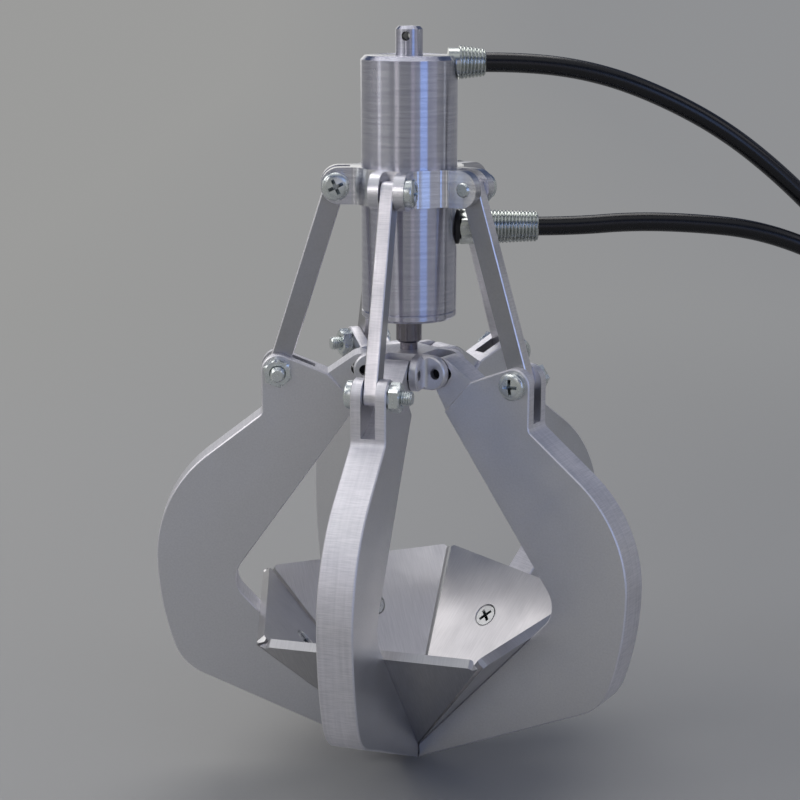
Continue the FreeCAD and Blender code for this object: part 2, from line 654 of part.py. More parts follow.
def leaf():
    rim = leaf_rim_length()
    a = math.radians(LEAF_SLOPE)
    corners = [leaf_point(0, 0), leaf_point(rim, 0), leaf_point(rim, LEAF_T),
               leaf_point(LEAF_T * math.tan(a), LEAF_T)]
    edges = [line(corners[i], corners[(i + 1) % 4]) for i in range(4)]
    slab = plate(edges, BARREL_D * 4.0)
    wedge = sector(HALF_SECTOR - LEAF_TAPER, TIP_GAP, RIM_APOTHEM * 2.0, TIP_Z - 1.0, 0.0)
    body = slab.common(wedge)
    half = (RIM_APOTHEM - TIP_GAP) * math.tan(math.radians(HALF_SECTOR - LEAF_TAPER))
    for side in (1, -1):
        corner = Part.makeBox(LEAF_CORNER_CUT * 2.0, LEAF_CORNER_CUT * 2.0, LEAF_T * 4.0,
                              V(-LEAF_CORNER_CUT, -LEAF_CORNER_CUT, -LEAF_T * 2.0))
        corner.rotate(V(0, 0, 0), V(0, 0, 1), 45)
        corner.translate(V(rim, side * half, 0))
        corner.rotate(V(0, 0, 0), V(0, 1, 0), -LEAF_SLOPE)
        corner.translate(V(0, 0, TIP_Z))
        body = body.cut(corner)
    top, inward = leaf_screw_axis()
    head_r = LEAF_SCREW_HEAD_D / 2.0 + LEAF_HEAD_SINK
    sink = Part.makeCone(head_r, SCREW_D / 2.0 + SEAT_PLAY, LEAF_SCREW_HEAD_H + LEAF_HEAD_SINK, top, inward)
    hole = Part.makeCylinder(SCREW_D / 2.0 + SEAT_PLAY, LEAF_T * 3.0, top, inward)
    return body.cut([sink, hole])


def leaf_screw():
    top, inward = leaf_screw_axis()
    head = LEAF_SCREW_HEAD_D / 2.0
    shank = SCREW_D / 2.0
    start = LEAF_HEAD_SINK
    solid = revolved([(0, start), (head, start), (shank, start + LEAF_SCREW_HEAD_H - SEAT_PLAY),
                      (shank, LEAF_SCREW_LENGTH - SCREW_CHAMFER), (shank - SCREW_CHAMFER, LEAF_SCREW_LENGTH),
                      (0, LEAF_SCREW_LENGTH)], inward)
    solid.translate(top)
    return solid


def pivot_screw():
    screw = pan_head_screw(PIVOT_SCREW_LENGTH)
    screw.translate(V(OUTER_PIVOT_R, -TINE_T / 2.0, OUTER_PIVOT_Z))
    return screw


def pivot_nut():
    nut = rounded_hexagon(NUT_FLATS, NUT_H, 0.0, SCREW_D + SEAT_PLAY * 2.0)
    nut.rotate(V(0, 0, 0), V(1, 0, 0), -90)
    nut.translate(V(OUTER_PIVOT_R, TINE_T / 2.0, OUTER_PIVOT_Z))
    return nut


def along_x(points, z):
    """A turned solid from (radius, distance out) points, along X at the height z."""
    solid = revolved(points, V(1, 0, 0))
    solid.translate(V(0, 0, z))
    return solid


def upper_fitting():
    bore = FITTING_BORE_D / 2.0
    neck = UPPER_NECK_D / 2.0
    big = UPPER_THREAD_D / 2.0
    small = UPPER_THREAD_END_D / 2.0
    end = UPPER_THREAD_START + UPPER_THREAD_LENGTH
    profile = [(bore, UPPER_SEAT_R), (neck, UPPER_SEAT_R), (neck, UPPER_THREAD_START),
               (big, UPPER_THREAD_START), (small, end), (bore, end)]
    return placed(along_x(profile, UPPER_FITTING_Z), FITTING_AZIMUTH)


def lower_fitting():
    bore = FITTING_BORE_D / 2.0
    spigot = LOWER_SPIGOT_D / 2.0
    hex_start = LOWER_SPOT_R + LOWER_WASHER_T
    hex_end = hex_start + LOWER_HEX_LENGTH
    end = hex_end + LOWER_THREAD_LENGTH
    big = LOWER_THREAD_D / 2.0
    small = LOWER_THREAD_END_D / 2.0
    nut = rounded_hexagon(LOWER_HEX_FLATS, LOWER_HEX_LENGTH, hex_start, FITTING_BORE_D)
    nut.rotate(V(0, 0, 0), V(0, 1, 0), 90)
    nut.rotate(V(0, 0, 0), V(1, 0, 0), 90)
    nut.translate(V(0, 0, LOWER_FITTING_Z))
    stem = along_x([(bore, LOWER_SPIGOT_IN), (spigot, LOWER_SPIGOT_IN), (spigot, hex_start),
                    (bore, hex_start)], LOWER_FITTING_Z)
    stub = along_x([(bore, hex_end), (big, hex_end), (small, end), (bore, end)], LOWER_FITTING_Z)
    return placed(nut.fuse([stem, stub]), FITTING_AZIMUTH)


def lower_fitting_washer():
    inside = LOWER_SPIGOT_D / 2.0 + SEAT_PLAY
    outside = LOWER_WASHER_D / 2.0
    end = LOWER_SPOT_R + LOWER_WASHER_T
    return placed(along_x([(inside, LOWER_SPOT_R), (outside, LOWER_SPOT_R), (outside, end), (inside, end)],
                          LOWER_FITTING_Z), FITTING_AZIMUTH)


def hose_points(route):
    """The route's points, turned from the fittings' plane to the part's frame."""
    a = math.radians(FITTING_AZIMUTH)
    return [V(u * math.cos(a) - v * math.sin(a), u * math.sin(a) + v * math.cos(a), z) for u, v, z in route]


def hose(name, route):
    """A tube along straight runs joined by tangent arcs."""
    points = hose_points(route)
    edges = []
    here = points[0]
    radii = []
    for before, corner, after in zip(points, points[1:], points[2:]):
        back = before - corner
        on = after - corner
        shorter = min(back.Length, on.Length)
        half_turn = (math.pi - back.getAngle(on)) / 2.0
        reach = ARC_SHARE * shorter
        radii.append(reach / math.tan(half_turn))
        back.normalize()
        on.normalize()
        start = corner + back * reach
        end = corner + on * reach
        middle = (back + on).normalize()
        centre = corner + middle * (radii[-1] / math.cos(half_turn))
        edges.append(line(here, start))
        edges.append(Part.Arc(start, centre - middle * radii[-1], end).toShape())
        here = end
    edges.append(line(here, points[-1]))
    path = Part.Wire(edges)
    section = Part.Wire(Part.Circle(points[0], points[1] - points[0], HOSE_D / 2.0).toShape())
    tube = path.makePipeShell([section], True, False)
    area = math.pi * HOSE_D ** 2 / 4.0
    print(name, "length", round(path.Length, 1), "volume share", round(tube.Volume / (area * path.Length), 4),
          "radii", [round(r, 1) for r in radii])
    return tube


def hose_end(route):
    """A crimped sleeve with a short stub, on the far end of a hose."""
    points = hose_points(route)
    way = points[-1] - points[-2]
    way.normalize()
    sleeve = END_SLEEVE_D / 2.0
    stub = END_STUB_D / 2.0
    bore = END_BORE_D / 2.0
    total = END_SLEEVE_LENGTH + END_STUB_LENGTH
    profile = [(bore, 0), (sleeve - 0.3, 0), (sleeve, 0.3), (sleeve, END_SLEEVE_LENGTH - 0.3),
               (sleeve - 0.3, END_SLEEVE_LENGTH), (stub, END_SLEEVE_LENGTH), (stub, total), (bore, total)]
    solid = revolved(profile, way)
    solid.translate(points[-1])
    return solid


def build():
    """Every node's name and shape."""
    nodes = {
        "hanger_pin": hanger_pin(),
        "barrel": barrel(),
        "gland": gland(),
        "gland_o_ring": gland_o_ring(),
        "rod_seal": rod_seal(),
        "piston": piston(),
        "piston_seal": piston_seal(),
        "piston_nut": piston_nut(),
        "rod": rod(),
        "collar": collar(),
        "collar_screws": collar_screws(),
        "hub": hub(),
        "hub_pins": hub_pins(),
        "upper_fitting": upper_fitting(),
        "lower_fitting": lower_fitting(),
        "lower_fitting_washer": lower_fitting_washer(),
        "upper_hose": hose("upper_hose", UPPER_ROUTE),
        "lower_hose": hose("lower_hose", LOWER_ROUTE),
        "upper_hose_end": hose_end(UPPER_ROUTE),
        "lower_hose_end": hose_end(LOWER_ROUTE),
    }
    repeated = {
        "link": link(),
        "tine": tine(),
        "leaf": leaf(),
        "leaf_screw": leaf_screw(),
        "pivot_screw": pivot_screw(),
        "pivot_nut": pivot_nut(),
    }
    for name, shape in repeated.items():
        for i in range(TINES):
            nodes[f"{name}_{i + 1}"] = placed(shape, tine_azimuth(i))
    return nodes


os.makedirs("parts", exist_ok=True)
for node, shape in build().items():
    shape.exportStep(os.path.join("parts", node + ".step"))
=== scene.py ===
# Looks of the five-tine grapple: camera, stage, lights, materials, hoses and the fine parts.
# Metres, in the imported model's frame. Tine 1 points to -Y and the others follow every 72 degrees.
import math

import bmesh
import bpy
from mathutils import Matrix, Vector


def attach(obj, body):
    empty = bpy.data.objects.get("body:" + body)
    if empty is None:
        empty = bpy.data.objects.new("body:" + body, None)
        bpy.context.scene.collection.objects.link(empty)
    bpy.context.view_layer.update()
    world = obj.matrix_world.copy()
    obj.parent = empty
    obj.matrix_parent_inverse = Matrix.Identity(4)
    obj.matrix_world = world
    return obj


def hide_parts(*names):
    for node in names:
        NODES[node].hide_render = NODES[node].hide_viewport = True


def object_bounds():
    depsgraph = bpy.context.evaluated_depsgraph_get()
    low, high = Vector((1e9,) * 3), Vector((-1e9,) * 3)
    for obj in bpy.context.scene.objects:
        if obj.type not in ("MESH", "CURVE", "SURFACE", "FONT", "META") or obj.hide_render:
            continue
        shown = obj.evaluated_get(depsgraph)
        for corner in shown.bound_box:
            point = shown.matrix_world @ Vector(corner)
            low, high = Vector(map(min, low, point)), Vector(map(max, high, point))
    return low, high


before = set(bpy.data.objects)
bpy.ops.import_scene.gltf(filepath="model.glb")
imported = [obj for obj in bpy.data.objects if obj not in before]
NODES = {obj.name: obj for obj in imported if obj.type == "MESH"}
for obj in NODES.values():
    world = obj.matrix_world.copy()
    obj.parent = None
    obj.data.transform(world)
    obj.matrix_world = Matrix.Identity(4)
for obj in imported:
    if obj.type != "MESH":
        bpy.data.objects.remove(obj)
CAD_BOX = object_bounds()
MM = 0.001
TINES = range(1, 6)
FLOOR_Z = CAD_BOX[0].z


def tine_azimuth(number):
    return math.radians(-90.0 + 72.0 * (number - 1))


def direction(azimuth, elevation):
    """The unit vector that points along an azimuth and an elevation."""
    level = math.cos(elevation)
    return Vector((math.cos(azimuth) * level, math.sin(azimuth) * level, math.sin(elevation)))


# Camera
CAMERA_AT = Vector((93.70, -349.31, 12.97)) * MM
CAMERA_HEADING = math.radians(105.315)
CAMERA_PITCH = math.radians(-13.924)
LENS_MM = 78.02
SENSOR_MM = 36.0
CLIP_START = 0.01


def make_camera():
    data = bpy.data.cameras.new("camera")
    data.lens = LENS_MM
    data.sensor_width = SENSOR_MM
    data.clip_start = CLIP_START
    camera = bpy.data.objects.new("camera", data)
    bpy.context.scene.collection.objects.link(camera)
    ahead = direction(CAMERA_HEADING, CAMERA_PITCH)
    camera.location = CAMERA_AT
    camera.rotation_mode = "QUATERNION"
    camera.rotation_quaternion = ahead.to_track_quat("-Z", "Y")
    bpy.context.scene.camera = camera


# Shader nodes
MIX_A = 6
MIX_B = 7
MIX_RESULT = 2
SIDE_FROM = 0.75
SIDE_FULL = 0.9
NOISE_LOW = 0.3
NOISE_HIGH = 0.7


class Shader:
    """A material's node tree with short ways to add and join nodes."""

    def __init__(self, name):
        self.material = bpy.data.materials.new(name)
        self.material.use_nodes = True
        self.tree = self.material.node_tree
        self.main = self.tree.nodes["Principled BSDF"]

    @classmethod
    def of(cls, material):
        """The same for a material that is already made."""
        shader = cls.__new__(cls)
        shader.material = material
        shader.tree = material.node_tree
        shader.main = shader.tree.nodes["Principled BSDF"]
        return shader

    def add(self, kind, **values):
        node = self.tree.nodes.new(kind)
        for key, value in values.items():
            setattr(node, key, value)
        return node

    def join(self, source, target):
        self.tree.links.new(source, target)

    def set(self, **values):
        for key, value in values.items():
            self.main.inputs[key.replace("_", " ")].default_value = value

    def local(self, azimuth=0.0, scale=(1.0, 1.0, 1.0)):
        """Object coordinates turned so that X points out along the azimuth, then scaled."""
        turn = self.add("ShaderNodeMapping")
        turn.inputs["Rotation"].default_value = (0.0, 0.0, -azimuth)
        self.join(self.add("ShaderNodeTexCoord").outputs["Object"], turn.inputs["Vector"])
        stretch = self.add("ShaderNodeMapping")
        stretch.inputs["Scale"].default_value = scale
        self.join(turn.outputs["Vector"], stretch.inputs["Vector"])
        return stretch.outputs["Vector"]

    def noise(self, vector, scale, detail=3.0, roughness=0.5):
        node = self.add("ShaderNodeTexNoise")
        node.inputs["Scale"].default_value = scale
        node.inputs["Detail"].default_value = detail
        node.inputs["Roughness"].default_value = roughness
        self.join(vector, node.inputs["Vector"])
        return node.outputs["Fac"]

    def math(self, operation, a, b=None):
        node = self.add("ShaderNodeMath", operation=operation)
        for socket, value in zip(node.inputs, (a, b)):
            if hasattr(value, "is_output"):
                self.join(value, socket)
            elif value is not None:
                socket.default_value = value
        return node.outputs[0]

    def span(self, value, low, high, to_low=0.0, to_high=1.0):
        """The value mapped from one range to another and held inside it."""
        node = self.add("ShaderNodeMapRange")
        self.join(value, node.inputs["Value"])
        limits = {"From Min": low, "From Max": high, "To Min": to_low, "To Max": to_high}
        for key, number in limits.items():
            node.inputs[key].default_value = number
        return node.outputs["Result"]

    def mix(self, factor, a, b):
        """A colour between two others, each a socket or three numbers."""
        node = self.add("ShaderNodeMix", data_type="RGBA")
        self.join(factor, node.inputs["Factor"])
        for socket, value in ((node.inputs[MIX_A], a), (node.inputs[MIX_B], b)):
            if hasattr(value, "is_output"):
                self.join(value, socket)
            else:
                socket.default_value = (*value, 1.0)
        return node.outputs[MIX_RESULT]

    def bump(self, height, distance, after=None):
        """The normal on a surface raised by the height, over another normal if one is given."""
        node = self.add("ShaderNodeBump")
        node.inputs["Strength"].default_value = 1.0
        node.inputs["Distance"].default_value = distance
        self.join(height, node.inputs["Height"])
        if after is not None:
            self.join(after, node.inputs["Normal"])
        return node.outputs["Normal"]

    def round_y(self):
        """The distance from the object's Y axis, and the way along that axis."""
        split = self.add("ShaderNodeSeparateXYZ")
        self.join(self.add("ShaderNodeTexCoord").outputs["Object"], split.inputs[0])
        squares = [self.math("POWER", split.outputs[axis], 2.0) for axis in ("X", "Z")]
        return self.math("SQRT", self.math("ADD", *squares)), split.outputs["Y"]

    def side(self, azimuth):
        """1 on faces that look along the tine's thickness and 0 on its edges."""
        turn = self.add("ShaderNodeMapping", vector_type="NORMAL")
        turn.inputs["Rotation"].default_value = (0.0, 0.0, -azimuth)
        self.join(self.add("ShaderNodeTexCoord").outputs["Normal"], turn.inputs["Vector"])
        split = self.add("ShaderNodeSeparateXYZ")
        self.join(turn.outputs["Vector"], split.inputs[0])
        return self.span(self.math("ABSOLUTE", split.outputs["Y"]), SIDE_FROM, SIDE_FULL)


# Stage
# Painted shade: the floor and the far backdrop are painted darker to the right, as if lit from the left.
STAGE_COLOUR = (0.43, 0.425, 0.405)
STAGE_COLOUR_RIGHT_PAINTED_SHADE = (0.335, 0.335, 0.33)
STAGE_FAR_COLOUR = (0.33, 0.33, 0.325)
STAGE_FAR_COLOUR_RIGHT_PAINTED_SHADE = (0.275, 0.28, 0.29)
STAGE_TURN = math.radians(15.0)
STAGE_HALF_WIDTH = 0.25
STAGE_NEAR = 0.15
STAGE_FAR = 0.6
STAGE_ROUGHNESS = 0.6
STAGE_SPECULAR = 0.2
STAGE_INNER_R = 0.4
STAGE_R = 3.2
STAGE_BEND_R = 1.0
STAGE_BEND_STEPS = 12
STAGE_RIM = 1.1
STAGE_SEGMENTS = 96


def stage_profile():
    """Radius and height of the stage's rings, from its middle outwards."""
    flat = STAGE_R - STAGE_BEND_R
    profile = [(STAGE_INNER_R, 0.0), (flat, 0.0)]
    for step in range(1, STAGE_BEND_STEPS + 1):
        a = math.radians(90.0 * step / STAGE_BEND_STEPS)
        profile.append((flat + STAGE_BEND_R * math.sin(a), STAGE_BEND_R * (1 - math.cos(a))))
    profile.append((STAGE_R, STAGE_RIM))
    return profile


def stage_mesh():
    """A round floor that bends up into a low wall all round the object."""
    mesh = bmesh.new()
    centre = mesh.verts.new((0.0, 0.0, FLOOR_Z))
    turns = [2.0 * math.pi * i / STAGE_SEGMENTS for i in range(STAGE_SEGMENTS)]
    rings = []
    for radius, height in stage_profile():
        rings.append([mesh.verts.new((radius * math.cos(a), radius * math.sin(a), FLOOR_Z + height))
                      for a in turns])
    for i in range(STAGE_SEGMENTS):
        on = (i + 1) % STAGE_SEGMENTS
        mesh.faces.new((centre, rings[0][i], rings[0][on]))
        for low, high in zip(rings, rings[1:]):
            mesh.faces.new((low[i], high[i], high[on], low[on]))
    for face in mesh.faces:
        face.smooth = True
    return mesh


def stage_material():
    """A grey that is lit near the object and even far from it, with painted shade that makes it a little
    darker on the right.
    """
    shader = Shader("stage_grey")
    at = shader.local(STAGE_TURN)
    split = shader.add("ShaderNodeSeparateXYZ")
    shader.join(at, split.inputs[0])
    # Painted shade: the colour goes darker towards the right.
    right = shader.span(split.outputs["X"], -STAGE_HALF_WIDTH, STAGE_HALF_WIDTH)
    shader.join(shader.mix(right, STAGE_COLOUR, STAGE_COLOUR_RIGHT_PAINTED_SHADE), shader.main.inputs["Base Color"])
    shader.set(Roughness=STAGE_ROUGHNESS, Specular_IOR_Level=STAGE_SPECULAR)
    length = shader.add("ShaderNodeVectorMath", operation="LENGTH")
    shader.join(at, length.inputs[0])
    far = shader.span(length.outputs["Value"], STAGE_NEAR, STAGE_FAR)
    far.node.interpolation_type = "SMOOTHSTEP"
    path = shader.add("ShaderNodeLightPath").outputs
    seen = shader.math("MAXIMUM", path["Is Camera Ray"], path["Is Glossy Ray"])
    seen = shader.math("MAXIMUM", seen, path["Is Transmission Ray"])
    even = shader.add("ShaderNodeEmission")
    shader.join(shader.mix(right, STAGE_FAR_COLOUR, STAGE_FAR_COLOUR_RIGHT_PAINTED_SHADE), even.inputs["Color"])
    both = shader.add("ShaderNodeMixShader")
    shader.join(shader.math("MULTIPLY", far, seen), both.inputs["Fac"])
    shader.join(shader.main.outputs["BSDF"], both.inputs[1])
    shader.join(even.outputs["Emission"], both.inputs[2])
    shader.join(both.outputs["Shader"], shader.tree.nodes["Material Output"].inputs["Surface"])
    return shader.material


def make_stage():
    new_object("stage", stage_mesh(), stage_material())


def new_object(name, mesh, material=None):
    """An object from a bmesh, which is used up."""
    data = bpy.data.meshes.new(name)
    mesh.to_mesh(data)
    mesh.free()
    made = bpy.data.objects.new(name, data)
    bpy.context.scene.collection.objects.link(made)
    if material is not None:
        data.materials.append(material)
    return made


# Lights
OBJECT_MIDDLE = Vector((0.0, 0.0, -0.08))
HIGH_LAMP_AIM = Vector((0.0, 0.0, -0.1))
PANEL_DISTANCE = 0.9
CEILING_AT = Vector((-0.1, -0.3, 3.4))
HIGH_BACK_DISTANCE = 2.5
WORLD_COLOUR = (0.075, 0.10, 0.17)


def area_light(name, at, aim, size, power, colour):
    data = bpy.data.lights.new(name, "AREA")
    data.shape = "RECTANGLE"
    data.size, data.size_y = size
    data.energy = power
    data.color = colour
    light = bpy.data.objects.new(name, data)
    bpy.context.scene.collection.objects.link(light)
    light.location = at
    light.rotation_mode = "QUATERNION"
    light.rotation_quaternion = (aim - at).to_track_quat("-Z", "Y")
    light.visible_camera = False


def toward(azimuth, elevation, distance):
    """A place seen from the object's middle in a direction given in degrees."""
    return OBJECT_MIDDLE + direction(math.radians(azimuth), math.radians(elevation)) * distance


def panel(name, azimuth, elevation, size, radiance, colour=(1.0, 1.0, 1.0)):
    """A lamp that faces the object and looks as bright as the radiance."""
    power = math.pi * size[0] * size[1] * radiance
    area_light(name, toward(azimuth, elevation, PANEL_DISTANCE), OBJECT_MIDDLE, size, power, colour)


def make_lights():
    panel("window_left", -174.0, 40.0, (0.50, 0.40), 1.7, (1.0, 0.96, 0.93))
    panel("window_front", -142.0, 38.0, (0.38, 0.40), 2.1, (1.0, 0.99, 0.92))
    panel("key", -105.0, 25.0, (0.14, 0.22), 3.6, (1.0, 0.95, 0.93))
    panel("over_front", -90.0, 66.0, (0.75, 0.36), 0.3, (1.0, 1.0, 0.85))
    panel("right_high", 0.0, 40.0, (0.36, 0.40), 0.95, (1.0, 0.96, 0.97))
    panel("low_left", -150.0, 12.0, (0.14, 0.42), 0.8)
    panel("low_middle", -66.0, 12.0, (0.14, 0.42), 0.45, (0.9, 0.8, 1.0))
    panel("strip", -40.0, 12.0, (0.28, 0.42), 1.45, (0.22, 0.43, 1.0))
    panel("strip_soft", -33.0, 12.0, (0.90, 0.42), 0.3, (0.6, 0.65, 0.95))
    panel("low_right", 42.0, 26.0, (0.23, 0.30), 0.3, (0.95, 0.95, 1.0))
    panel("rim", 18.0, 12.0, (0.03, 0.42), 1.2, (0.92, 0.96, 1.0))
    panel("back", 118.0, 14.0, (0.5, 0.42), 0.6, (1.0, 0.99, 0.94))
    area_light("ceiling", CEILING_AT, HIGH_LAMP_AIM, (6.0, 6.0), 36.0, (1.0, 0.98, 0.96))
    high_back = toward(112.0, 62.0, HIGH_BACK_DISTANCE)
    area_light("high_back", high_back, HIGH_LAMP_AIM, (1.6, 1.6), 18.0, (1.0, 0.98, 0.95))


def make_world():
    world = bpy.data.worlds.new("world")
    world.use_nodes = True
    bpy.context.scene.world = world
    world.node_tree.nodes["Background"].inputs["Color"].default_value = (*WORLD_COLOUR, 1.0)


# Materials
# Painted shade: the inside of the hanger pin's cross-hole is painted near-black.
CROSS_HOLE_R = 0.92
CROSS_HOLE_EDGE = 0.03
HOLE_PAINTED_SHADE = (0.03, 0.03, 0.03)
ZINC_LIGHT = (0.78, 0.82, 0.81)
ZINC_DARK = (0.66, 0.70, 0.70)
ZINC_ROUGHNESS = 0.27
ZINC_GRAIN = 500.0
ZINC_BUMP = 0.000003
LEAF_ZINC = (0.52, 0.53, 0.53)
# Painted shade: the colours that the screw heads' cross recesses are painted.
HEAD_RECESS_PAINTED_SHADE = (0.42, 0.45, 0.46)
LEAF_RECESS_PAINTED_SHADE = (0.07, 0.08, 0.08)
RECESS_SHADE = 0.87
RECESS_R = 2.0
RECESS_FADE = (0.1, 0.4)
RECESS_END = 1.7
RECESS_EDGE = 0.1
RIM_EDGE = 0.05
# Painted shade: the links' flat faces are painted darker by this factor.
LINK_FACE_PAINTED_SHADE = 0.6
RUBBER_LIGHTER = 1.6
RUBBER_ROUGHER = 1.3
COAT_ROUGHNESS = 0.12
QUARTER_TURN = 0.25
RING_STRETCH = (0.04, 0.04, 1.0)
RING_LOW = 0.35
RING_HIGH = 0.65
PATCH_STRETCH = (1.0, 1.0, 0.25)
TURNED_ROUGHNESS = (0.22, 0.30)
TURNED_BUMP = 0.000005
STRETCH_ACROSS = (1.0, 0.05, 1.0)
STRETCH_ALONG = (0.05, 1.0, 0.05)
MARKS_ACROSS = 0.6
MARKS_LOW = 0.38
MARKS_HIGH = 0.62
MILLED_EDGE_DARK = (0.74, 0.73, 0.76)
MILLED_EDGE_LIGHT = (0.90, 0.88, 0.91)
MILLED_FACE_DARK = (0.70, 0.70, 0.72)
MILLED_FACE_LIGHT = (0.76, 0.76, 0.78)
MILLED_ROUGHNESS = (0.30, 0.42)
MILLED_EDGE_BUMP = 0.00003
MILLED_FACE_BUMP = 0.00002
SHEET_DARK = (0.56, 0.555, 0.565)
SHEET_LIGHT = (0.64, 0.63, 0.64)
SHEET_RIM = (0.86, 0.85, 0.87)
SHEET_ROUGHNESS = (0.28, 0.40)
GRAIN_BUMP = 0.00001
GRAIN_ROUGHNESS = (0.8, 1.25)


def cross_hole_painted_shade_mask(shader):
    """1 inside the hanger pin's cross-hole, which runs through the origin along Y, where painted shade
    goes.
    """
    off = shader.round_y()[0]
    return shader.span(off, CROSS_HOLE_R * MM, (CROSS_HOLE_R + CROSS_HOLE_EDGE) * MM, 1.0, 0.0)


def turned_aluminium(name, light, dark):
    """Turned on a lathe: fine rings round the axis that smear reflections along it, and painted shade
    inside the pin's cross-hole.
    """
    shader = Shader(name)
    rings = shader.noise(shader.local(scale=RING_STRETCH), scale=1900.0, detail=3.0, roughness=0.75)
    patches = shader.noise(shader.local(scale=PATCH_STRETCH), scale=90.0)
    tone = shader.mix(shader.span(rings, RING_LOW, RING_HIGH), dark, light)
    # Painted shade: the cross-hole is painted near-black.
    shader.join(shader.mix(cross_hole_painted_shade_mask(shader), tone, HOLE_PAINTED_SHADE), shader.main.inputs["Base Color"])
    shader.join(shader.span(patches, NOISE_LOW, NOISE_HIGH, *TURNED_ROUGHNESS),
                shader.main.inputs["Roughness"])
    shader.join(shader.bump(rings, TURNED_BUMP), shader.main.inputs["Normal"])
    shader.set(Metallic=1.0, Anisotropic=1.0, Anisotropic_Rotation=QUARTER_TURN)
    tangent = shader.add("ShaderNodeTangent", direction_type="RADIAL", axis="Z")
    shader.join(tangent.outputs["Tangent"], shader.main.inputs["Tangent"])
    return shader.material


def milled_aluminium(name, azimuth, face=1.0, edge_rougher=0.15):
    """Plate with rolled grain on its faces, which may be painted darker as shade, and cutter marks over
    its edges.
    """
    shader = Shader(name)
    side = shader.side(azimuth)
    across = shader.noise(shader.local(azimuth, STRETCH_ACROSS), scale=5200.0, detail=2.0, roughness=0.6)
    along = shader.noise(shader.local(azimuth, STRETCH_ALONG), scale=1400.0, roughness=0.6)
    marks = shader.math("ADD", shader.math("MULTIPLY", across, MARKS_ACROSS),
                        shader.math("MULTIPLY", along, 1.0 - MARKS_ACROSS))
    grain = shader.noise(shader.local(azimuth), scale=2400.0, roughness=0.6)
    blotch = shader.noise(shader.local(azimuth), scale=160.0, detail=4.0)
    edge_tone = shader.mix(shader.span(marks, MARKS_LOW, MARKS_HIGH),
                           MILLED_EDGE_DARK, MILLED_EDGE_LIGHT)
    # A face factor below 1 paints the faces darker: painted shade.
    dark, light = (tuple(c * face for c in tone) for tone in (MILLED_FACE_DARK, MILLED_FACE_LIGHT))
    side_tone = shader.mix(shader.span(grain, NOISE_LOW, NOISE_HIGH), dark, light)
    shader.join(shader.mix(side, edge_tone, side_tone), shader.main.inputs["Base Color"])
    edge = shader.math("SUBTRACT", 1.0, side)
    rougher = shader.math("MULTIPLY", edge, edge_rougher)
    roughness = shader.span(blotch, NOISE_LOW, NOISE_HIGH, *MILLED_ROUGHNESS)
    shader.join(shader.math("ADD", roughness, rougher), shader.main.inputs["Roughness"])
    edge_bump = shader.bump(shader.math("MULTIPLY", marks, edge), MILLED_EDGE_BUMP)
    shader.join(shader.bump(shader.math("MULTIPLY", grain, side), MILLED_FACE_BUMP, after=edge_bump),
                shader.main.inputs["Normal"])
    shader.set(Metallic=1.0)
    return shader.material


def brushed_sheet(name, azimuth):
    """Sheet brushed along the tine, a little brighter along its cut rims."""
    shader = Shader(name)
    side = shader.side(azimuth)
    lines = shader.noise(shader.local(azimuth, STRETCH_ALONG), scale=4200.0, detail=2.0, roughness=0.6)
    blotch = shader.noise(shader.local(azimuth), scale=110.0)
    sheet = shader.mix(shader.span(lines, NOISE_LOW, NOISE_HIGH), SHEET_DARK, SHEET_LIGHT)
    shader.join(shader.mix(side, sheet, SHEET_RIM), shader.main.inputs["Base Color"])
    shader.join(shader.span(blotch, NOISE_LOW, NOISE_HIGH, *SHEET_ROUGHNESS),
                shader.main.inputs["Roughness"])
    shader.join(shader.bump(lines, GRAIN_BUMP), shader.main.inputs["Normal"])
    shader.set(Metallic=1.0)
    return shader.material


def plain_metal(name, light, dark, roughness, grain_scale=2500.0, bump=GRAIN_BUMP):
    """A plated or ground metal with faint grain."""
    shader = Shader(name)
    grain = shader.noise(shader.local(), scale=grain_scale, detail=4.0, roughness=0.6)
    blotch = shader.noise(shader.local(), scale=300.0, detail=2.0)
    tone = shader.mix(shader.span(blotch, NOISE_LOW, NOISE_HIGH), dark, light)
    shader.join(tone, shader.main.inputs["Base Color"])
    least, most = (roughness * part for part in GRAIN_ROUGHNESS)
    shader.join(shader.span(grain, NOISE_LOW, NOISE_HIGH, least, most), shader.main.inputs["Roughness"])
    shader.join(shader.bump(grain, bump), shader.main.inputs["Normal"])
    shader.set(Metallic=1.0)
    return shader.material


def zinc_with_painted_recess_shade(name, light, mouth, tone, rim=None):
    """Zinc plate with painted shade: darker in a recess on the Y axis that opens at the mouth, and past
    the rim if any (a painted shadow there).
    """
    dark = tuple(c * RECESS_SHADE for c in light)
    shader = Shader.of(plain_metal(name, light, dark, ZINC_ROUGHNESS, ZINC_GRAIN, ZINC_BUMP))
    across, depth = shader.round_y()
    start, full = ((mouth + fade) * MM for fade in RECESS_FADE)
    end = (mouth + RECESS_END) * MM
    # Painted shade: the recess is painted darker, and the head's outer band too where a rim is given.
    below = shader.math("MULTIPLY", shader.span(depth, start, full),
                        shader.span(depth, end, end + RECESS_EDGE * MM, 1.0, 0.0))
    near = shader.span(across, RECESS_R * MM, (RECESS_R + RECESS_EDGE) * MM, 1.0, 0.0)
    darker = shader.math("MULTIPLY", near, below)
    if rim is not None:
        darker = shader.math("MAXIMUM", darker, shader.span(across, rim * MM, (rim + RIM_EDGE) * MM))
    base = shader.main.inputs["Base Color"]
    shader.join(shader.mix(darker, base.links[0].from_socket, tone), base)
    return shader.material


